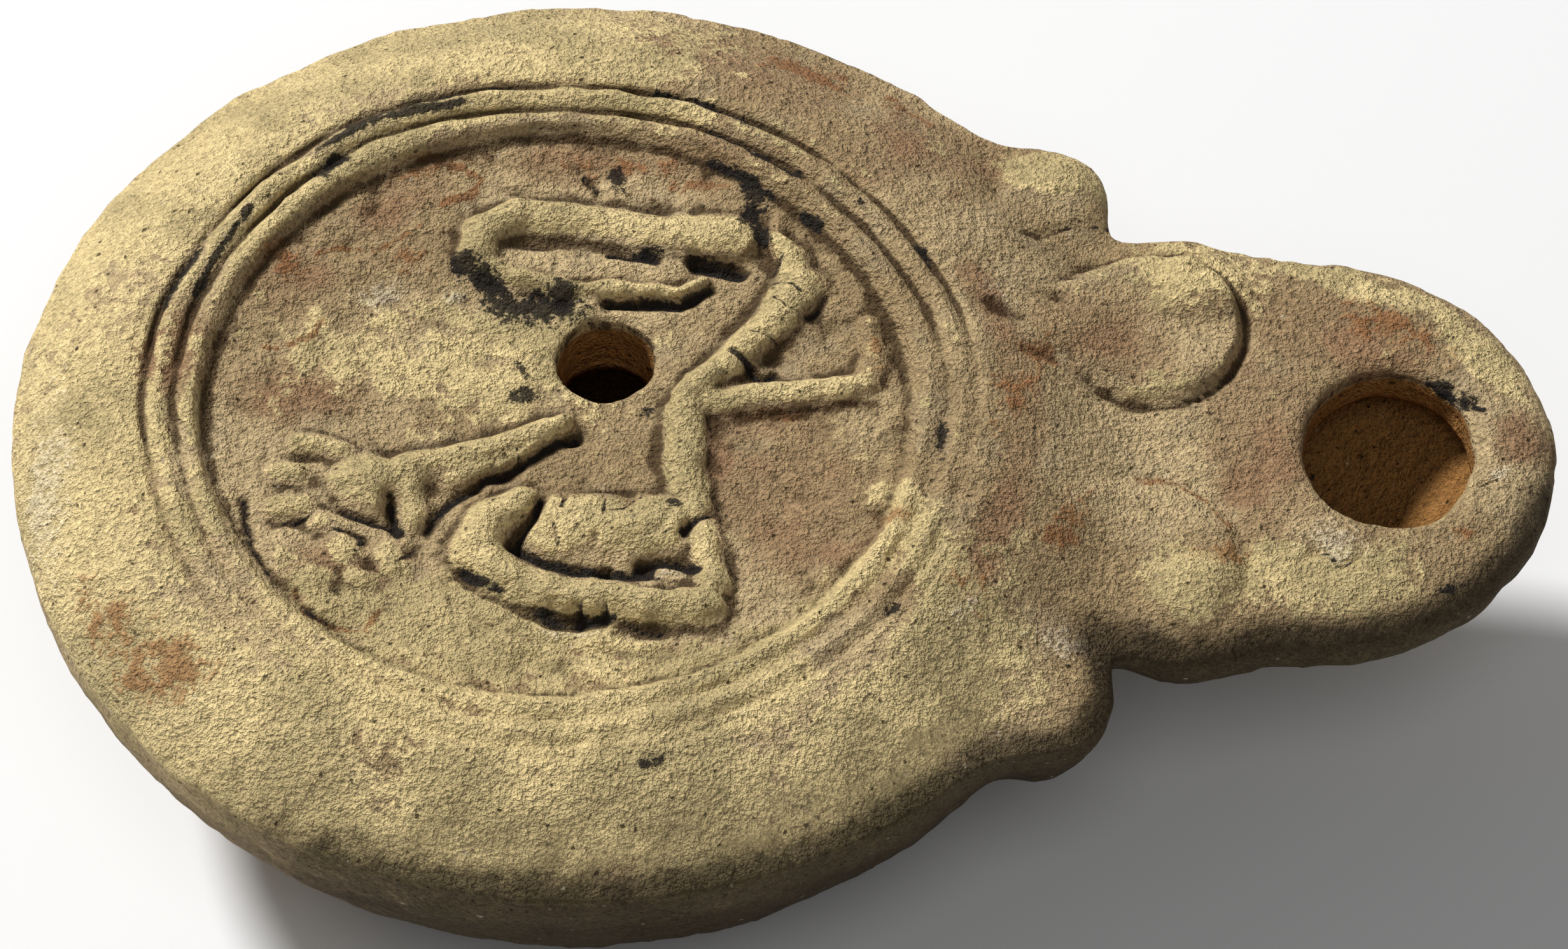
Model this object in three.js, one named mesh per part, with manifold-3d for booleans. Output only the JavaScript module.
// Mould-made clay oil lamp with volutes and a round nozzle.
// Millimetres, +Z up. The origin is on the flat underside, below the centre of the sunken round
// top (the discus). The nozzle points along +X.

import * as THREE from 'three';
import { ParametricGeometry } from 'three/addons/geometries/ParametricGeometry.js';
import { mergeGeometries, mergeVertices } from 'three/addons/utils/BufferGeometryUtils.js';
import Module from 'manifold-3d';

// Driving dimensions: body, seen from above
const body = { x: 1.3, y: 0.6, radius: 37.5 };
const nozzle = { x: 50, y: 1.2, startX: 30, length: 16.5, halfWidth: 16.2 };
const knobRadius = 4.3;
const knobs = [
  { x: 32.4, y: 21.6 }, { x: 32.4, y: -20.0 },   // pair on the shoulder
  { x: 41.6, y: 13.6 }, { x: 41.6, y: -12.0 },   // pair at the root of the nozzle
];
const nozzleFillet = 3.2;
const knobFillet = 4;

// Driving dimensions: heights above the surface that the lamp stands on
const ringTop = 27;
const deckHeight = 22.6;                          // flat top of the nozzle
const edge = { body: 22.1, nozzle: 20.6, fromX: 30, toX: 50 };
const shoulder = { radius: 27.6, width: 8.4, drop: 3.4, power: 1.7 };
const edgeRoll = 4.2;                             // width of the rounding along the upper edge
const keel = { rise: 9.5, fromX: 20, toX: 48 };   // the nozzle's underside climbs to its tip
const flank = { width: 16, nozzleWidth: 13, roundness: 0.55 };
const foot = { radius: 20, grooveRadius: 17, grooveWidth: 0.8, grooveDepth: 0.7 };

// Discus and the mouldings round it: radius, and height below the ring top
const discus = { radius: 23.6, sunk: 1.25, dish: 1.0 };
const mouldings = [[23.6, -1.25], [24.3, -0.3], [25.3, -0.8], [26.3, 0], [27.6, -0.6], [28.6, -0.2]];

// Holes and hollow
const fillingHole = { x: 3.1, y: 5.3, radius: 3.3, lip: 0.6 };
const wickHole = { x: 55.3, y: 0.6, radius: 5.7, stretch: 1.15, lip: 0.7 };
const wall = { side: 4, roof: 3.2, floor: 3.5, round: 4 };

// Volutes: flat scroll discs that end in the nozzle's knobs
const volute = { x: 39.5, y: 9.4, axisY: 0.75, radius: 6.4, rise: 0.9, step: 0.9 };
const boss = { radius: 3.4, rise: 0.9 };
const band = { radius: 31, halfWidth: 1.2, depth: 0.5, halfAngle: 0.45 };

// Mesh fineness
const bodyColumns = 76;
const nozzleColumns = 28;
const discusRows = 19;
const join = { near: -0.345, far: 0.395 };        // the nozzle joins the body between these angles

// Worn relief on the discus. Each stroke is a rounded ridge along a path, with a half width at its
// start and at its end, and a rise above the discus.
const relief = [
  { half: [2.6, 2.3], rise: 1.7, path: [[-12.8, -5.4], [-11.6, -6]] },                    // head
  { half: [2.3, 1.3], rise: 1.5, path: [[-11, -6.4], [-6, -4.6]] },                       // neck and shoulder
  { half: [1.4, 0.9], rise: 1.2, path: [[-7, -5], [-2.8, -2.1], [0.6, 0.8]] },            // arm
  { half: [1, 0.9], rise: 0.9, path: [[-4.3, -4.9], [-0.5, -2.9], [2, -1.6]] },           // fold below the arm
  { half: [1.4, 1.4], rise: 1.3, path: [[-17.5, -8.7], [-17.4, -8.5]] },                  // curls of hair
  { half: [1.4, 1.4], rise: 1.3, path: [[-17.8, -5.8], [-17.7, -5.6]] },
  { half: [1.4, 1.2], rise: 1.2, path: [[-16.5, -3.2], [-15.3, -3.4]] },
  { half: [1.7, 1.7], rise: 1.1, path: [[-16, -11.5], [-14.2, -12.6]] },
  { half: [1.7, 1.5], rise: 1.0, path: [[-12.2, -11.4], [-11, -13.2]] },
  { half: [1.8, 1.9], rise: 2.0, path: [[-2.6, -6.6], [-5.3, -9.4], [-5.6, -12.2], [-3.2, -14.7]] },   // cloak
  { half: [1.9, 1.8], rise: 2.0, path: [[-3.2, -14.7], [1, -16.3], [4.8, -16.8], [8.6, -17], [11, -15.9]] },
  { half: [2.7, 2.7], rise: 1.6, path: [[-0.8, -8.3], [4, -8.8], [8.6, -8.7]] },          // trunk
  { half: [1.5, 1.4], rise: 1.5, path: [[10.8, -14], [11.2, -11], [10.2, -7.6]] },        // hem
  { half: [1.7, 1.5], rise: 1.6, path: [[10.2, -7.6], [7.8, -4.6], [7.3, -1.5], [9, 1.3]] },           // thigh
  { half: [1.3, 1.2], rise: 1.3, path: [[9, 1.3], [13.3, 1.8], [17.3, 2.1], [20.4, 2.9]] },            // shin
  { half: [1.2, 1], rise: 0.9, path: [[20.4, 2.9], [20.6, 7.4]] },                        // foot
  { half: [1.5, 1.9], rise: 1.7, path: [[8.2, 1.4], [11.8, 4.4], [14, 7.2], [15.5, 10]] },             // other leg
  { half: [1.8, 1], rise: 1.4, path: [[15.5, 10], [15, 12.6], [14, 15.2]] },
  { half: [1.5, 1.9], rise: 1.6, path: [[-5.4, 15.6], [-3.4, 17], [1, 17], [6, 16.4], [11.8, 15.7]] }, // shield rim
  { half: [1.2, 0.9], rise: 1.1, path: [[-5.4, 14], [-4.6, 11.8], [-2, 10.9], [2, 10.1], [6, 10.7], [8.8, 11.8]] },
  { half: [2.2, 1.8], rise: 0.9, path: [[-3.4, 14.2], [1, 13.4]] },                       // shield field
];

const clamp = (value) => Math.min(1, Math.max(0, value));
const mix = (a, b, t) => a + (b - a) * t;
const smoothStep = (from, to, value) => {
  const t = clamp((value - from) / (to - from));
  return t * t * (3 - 2 * t);
};
const smoothMin = (a, b, blend) => {
  const t = clamp(0.5 + (b - a) / (2 * blend));
  return mix(b, a, t) - blend * t * (1 - t);
};
const smoothMax = (a, b, blend) => -smoothMin(-a, -b, blend);
const quarterRound = (t) => Math.sqrt(1 - (1 - clamp(t)) ** 2);

// Distance outside the lamp's outline, negative inside: a circle and an elongated nozzle, blended,
// with the four volute knobs blended on.
function outsideBy(x, y) {
  const round = Math.hypot(x - body.x, y - body.y) - body.radius;
  const ahead = Math.max(x - nozzle.x, 0) / nozzle.length;
  const behind = Math.max(nozzle.startX - x, 0) / nozzle.halfWidth;
  const across = (y - nozzle.y) / nozzle.halfWidth;
  const long = (Math.hypot(ahead, behind, across) - 1) * nozzle.halfWidth;
  const plain = smoothMin(round, long, nozzleFillet);
  return knobs.reduce((sum, knob) => {
    return smoothMin(sum, Math.hypot(x - knob.x, y - knob.y) - knobRadius, knobFillet);
  }, plain);
}

// How far a ray from a point runs before it leaves the outline shrunk by inset.
function reach(x, y, angle, inset = 0) {
  let near = 1;
  let far = 90;
  for (let step = 0; step < 40; step += 1) {
    const middle = (near + far) / 2;
    const outside = outsideBy(x + middle * Math.cos(angle), y + middle * Math.sin(angle)) + inset > 0;
    if (outside) far = middle; else near = middle;
  }
  return near;
}

const edgeHeight = (x) => mix(edge.body, edge.nozzle, smoothStep(edge.fromX, edge.toX, x));

// Height of the plain upper side before relief: dished discus, mouldings, convex shoulder, flat deck.
function plainTop(x, y) {
  const r = Math.hypot(x, y);
  if (r < discus.radius) return ringTop - discus.sunk - discus.dish * (1 - (r / discus.radius) ** 2);
  const fall = shoulder.drop * Math.max(0, (r - shoulder.radius) / shoulder.width) ** shoulder.power;
  const slope = ringTop - fall;
  for (let i = 1; i < mouldings.length; i += 1) {
    const [[r0, z0], [r1, z1]] = [mouldings[i - 1], mouldings[i]];
    if (r < r1) return slope + mix(z0, z1, (r - r0) / (r1 - r0));
  }
  return smoothMax(slope + mouldings.at(-1)[1], deckHeight, 1.6);
}

// Height of one rounded stroke at a point, zero outside it.
function strokeHeight({ half, rise, path }, x, y) {
  let highest = 0;
  for (let i = 1; i < path.length; i += 1) {
    const [[x0, y0], [x1, y1]] = [path[i - 1], path[i]];
    const along = clamp(((x - x0) * (x1 - x0) + (y - y0) * (y1 - y0)) / ((x1 - x0) ** 2 + (y1 - y0) ** 2));
    const away = Math.hypot(x - mix(x0, x1, along), y - mix(y0, y1, along));
    const halfHere = mix(half[0], half[1], (i - 1 + along) / (path.length - 1));
    highest = Math.max(highest, rise * (1 - smoothStep(0.3, 1.25, away / halfHere)));
  }
  return highest;
}

const reliefHeight = (x, y) => Math.max(...relief.map((stroke) => strokeHeight(stroke, x, y)));

// Scroll discs beside the nozzle's root, rounded bosses on the knobs, and a sunk band below the ring.
function voluteHeight(x, y) {
  const side = Math.abs(y - volute.axisY);
  const scroll = volute.radius - Math.hypot(x - volute.x, side - volute.y);
  const disc = volute.rise * smoothStep(0, volute.step, scroll);
  const lumps = knobs.map((knob) => {
    return boss.rise * (1 - (Math.hypot(x - knob.x, y - knob.y) / boss.radius) ** 2);
  });
  const offBand = Math.abs(Math.hypot(x, y) - band.radius) / band.halfWidth;
  const endFade = 1 - smoothStep(0.7 * band.halfAngle, band.halfAngle, Math.abs(Math.atan2(y, x)));
  const inBand = endFade * (1 - smoothStep(0, 1, offBand));
  return disc + Math.max(0, ...lumps) - band.depth * inBand;
}

function topHeight(x, y) {
  const raised = Math.hypot(x, y) < discus.radius ? reliefHeight(x, y) : voluteHeight(x, y);
  const low = edgeHeight(x);
  return low + (plainTop(x, y) + raised - low) * quarterRound(-outsideBy(x, y) / edgeRoll);
}

// Height of the lower side: a flat foot, full flanks, and a keel that climbs along the nozzle.
function bottomHeight(x, y) {
  const base = keel.rise * smoothStep(keel.fromX, keel.toX, x);
  const width = mix(flank.width, flank.nozzleWidth, smoothStep(keel.fromX, keel.toX, x));
  const t = clamp(-outsideBy(x, y) / width);
  const climb = flank.roundness * (1 - quarterRound(t)) + (1 - flank.roundness) * (1 - t);
  const offGroove = Math.abs(Math.hypot(x, y) - foot.grooveRadius) / foot.grooveWidth;
  const groove = foot.grooveDepth * Math.max(0, 1 - offGroove);
  return base + (edgeHeight(x) - base) * climb + groove;
}

// The hollow's roof and floor keep the walls' thickness and meet halfway at its rim.
const hollowMiddle = (x) => edgeHeight(x) - 3.2;
function hollowHeight(x, y, side) {
  const skin = side > 0
    ? Math.min(plainTop(x, y), ringTop - discus.sunk) - wall.roof
    : bottomHeight(x, y) + wall.floor;
  const middle = hollowMiddle(x);
  const inside = -outsideBy(x, y) - wall.side;
  return middle + (skin - middle) * quarterRound(inside / wall.round);
}

// Plan of the outer skin. The body's columns fan out from the origin. Those that face the nozzle stop
// at a straight line across its root, where the nozzle's own columns start.
const columns = bodyColumns + nozzleColumns;
const corner = [join.near, join.far].map((angle) => {
  const distance = reach(0, 0, angle);
  return new THREE.Vector2(distance * Math.cos(angle), distance * Math.sin(angle));
});
const tipAngles = corner.map((point) => Math.atan2(point.y - nozzle.y, point.x - nozzle.x));

// Point where a column ends: across the nozzle's root first, then round the body.
function columnEnd(column) {
  if (column <= nozzleColumns) return corner[0].clone().lerp(corner[1], column / nozzleColumns);
  if (column >= columns) return corner[0].clone();
  const t = (column - nozzleColumns) / bodyColumns;
  const even = t - 0.4 * Math.sin(2 * Math.PI * t) / (2 * Math.PI);      // closer beside the knobs
  const angle = mix(join.far, join.near + 2 * Math.PI, even);
  const distance = reach(0, 0, angle);
  return new THREE.Vector2(distance * Math.cos(angle), distance * Math.sin(angle));
}

// Outline point of a nozzle column, round the tip from the near corner to the far one.
function tipEnd(column) {
  if (column === 0) return corner[0].clone();
  if (column === nozzleColumns) return corner[1].clone();
  const angle = mix(tipAngles[0], tipAngles[1], column / nozzleColumns);
  const distance = reach(nozzle.x, nozzle.y, angle);
  return new THREE.Vector2(nozzle.x + distance * Math.cos(angle), nozzle.y + distance * Math.sin(angle));
}

// Rows of the body's grid: fixed radii first, then fractions of the way to the column's end.
const discusRadii = Array.from({ length: discusRows }, (_, row) => (discus.radius - 1) * row / (discusRows - 1));
const topRadii = [...discusRadii, ...mouldings.map(([radius]) => radius)];
const topFractions = [0.3, 0.55, 0.76, 0.91, 1];
const grooveRadii = [-1, 0, 1].map((side) => foot.grooveRadius + side * foot.grooveWidth);
const footRadii = [0, ...grooveRadii, foot.radius];
const flankFractions = [0.35, 0.65, 0.87, 0.97, 1];

function bodyPoint(column, row, radii, fractions) {
  const end = columnEnd(column);
  if (row < radii.length) return end.setLength(radii[row]);
  return end.setLength(mix(radii.at(-1), end.length(), fractions[row - radii.length]));
}

function nozzlePoint(column, row, fractions) {
  return columnEnd(column).lerp(tipEnd(column), [0, ...fractions][row]);
}

// A sheet over a grid of plan points. A column or row number is found from u or v, and the lower
// side runs its columns backwards, so that every face points out.
function sheet(columnCount, rowCount, plan, height, upward) {
  const grid = new ParametricGeometry((u, v, target) => {
    const column = Math.round((upward ? u : 1 - u) * columnCount);
    const row = Math.round((1 - v) * rowCount);
    const { x, y } = plan(column, row);
    target.set(x, y, height(x, y));
  }, columnCount, rowCount);
  return alongRidges(grid);
}

// Splits each cell between its two corners of nearest height, so that facets follow the ridges.
function alongRidges(grid) {
  const { index, attributes: { position } } = grid;
  for (let i = 0; i < index.count; i += 6) {
    const [a, b, d, , c] = index.array.slice(i, i + 6);
    const climb = (from, to) => Math.abs(position.getZ(from) - position.getZ(to));
    if (climb(a, c) < climb(b, d)) index.array.set([a, b, c, a, c, d], i);
  }
  return grid;
}

function outerSkin() {
  const topRows = topRadii.length + topFractions.length - 1;
  const flankRows = footRadii.length + flankFractions.length - 1;
  const deckFractions = [0.1, 0.2, 0.31, 0.43, 0.56, 0.69, 0.82, 0.93, 1];
  const keelFractions = [0.35, 0.65, 0.85, 0.96, 1];
  return [
    sheet(columns, topRows, (c, r) => bodyPoint(c, r, topRadii, topFractions), topHeight, true),
    sheet(columns, flankRows, (c, r) => bodyPoint(c, r, footRadii, flankFractions), bottomHeight, false),
    sheet(nozzleColumns, deckFractions.length, (c, r) => nozzlePoint(c, r, deckFractions), topHeight, true),
    sheet(nozzleColumns, keelFractions.length, (c, r) => nozzlePoint(c, r, keelFractions), bottomHeight, false),
  ];
}

// The hollow: one grid from its middle to the outline shrunk by the wall, closer along the nozzle.
function hollowSkin() {
  const hollowColumns = 48;
  const fractions = [0, 0.3, 0.55, 0.75, 0.9, 1];
  const plan = (column, row) => {
    const turn = column % hollowColumns / hollowColumns;
    const angle = 2 * Math.PI * (turn - 0.85 * Math.sin(2 * Math.PI * turn) / (2 * Math.PI));
    const distance = reach(0, 0, angle, wall.side) * fractions[row];
    return new THREE.Vector2(distance * Math.cos(angle), distance * Math.sin(angle));
  };
  const rows = fractions.length - 1;
  return [
    sheet(hollowColumns, rows, plan, (x, y) => hollowHeight(x, y, 1), true),
    sheet(hollowColumns, rows, plan, (x, y) => hollowHeight(x, y, -1), false),
  ];
}

// A round hole through the roof, a little wider at its worn lip.
function holeCutter(hole, lipHeight, fromHeight, sides) {
  const profile = [
    [0, fromHeight],
    [hole.radius, fromHeight],
    [hole.radius, lipHeight - hole.lip],
    [hole.radius + hole.lip, lipHeight + 0.4],
    [hole.radius + 3 * hole.lip, lipHeight + 6],
    [0, lipHeight + 6],
  ].map(([radius, height]) => new THREE.Vector2(radius, height));
  const cutter = new THREE.LatheGeometry(profile, sides);
  cutter.rotateX(Math.PI / 2);
  cutter.scale(1, hole.stretch ?? 1, 1);
  cutter.translate(hole.x, hole.y, 0);
  return [cutter];
}

const wasm = await Module();
wasm.setup();

// Joins sheets along their shared edges into a closed solid, leaving out faces with no area.
function solidOf(sheets) {
  const joined = mergeGeometries(sheets.map((geometry) => {
    geometry.deleteAttribute('normal');
    geometry.deleteAttribute('uv');
    return geometry;
  }));
  const welded = mergeVertices(joined, 1e-3);
  const corners = welded.index.array;
  const kept = [];
  for (let i = 0; i < corners.length; i += 3) {
    const [a, b, c] = corners.slice(i, i + 3);
    if (a !== b && b !== c && c !== a) kept.push(a, b, c);
  }
  return new wasm.Manifold(new wasm.Mesh({
    numProp: 3,
    vertProperties: new Float32Array(welded.attributes.position.array),
    triVerts: new Uint32Array(kept),
  }));
}

function geometryOf(solid) {
  const { vertProperties, triVerts } = solid.getMesh();
  const geometry = new THREE.BufferGeometry();
  geometry.setAttribute('position', new THREE.BufferAttribute(new Float32Array(vertProperties), 3));
  geometry.setIndex(new THREE.BufferAttribute(new Uint32Array(triVerts), 1));
  geometry.computeVertexNormals();
  return geometry;
}

function makeLamp() {
  const discusLevel = ringTop - discus.sunk - discus.dish;
  const clay = solidOf(outerSkin())
    .subtract(solidOf(hollowSkin()))
    .subtract(solidOf(holeCutter(fillingHole, discusLevel + 0.1, 18, 24)))
    .subtract(solidOf(holeCutter(wickHole, deckHeight, 17.5, 28)));
  const firedClay = new THREE.MeshStandardMaterial({ color: 0xb59f6c, roughness: 0.92, metalness: 0 });
  const lamp = new THREE.Mesh(geometryOf(clay), firedClay);
  lamp.name = 'lamp';
  return lamp;
}

const oilLamp = new THREE.Group();
oilLamp.add(makeLamp());

export default oilLamp;
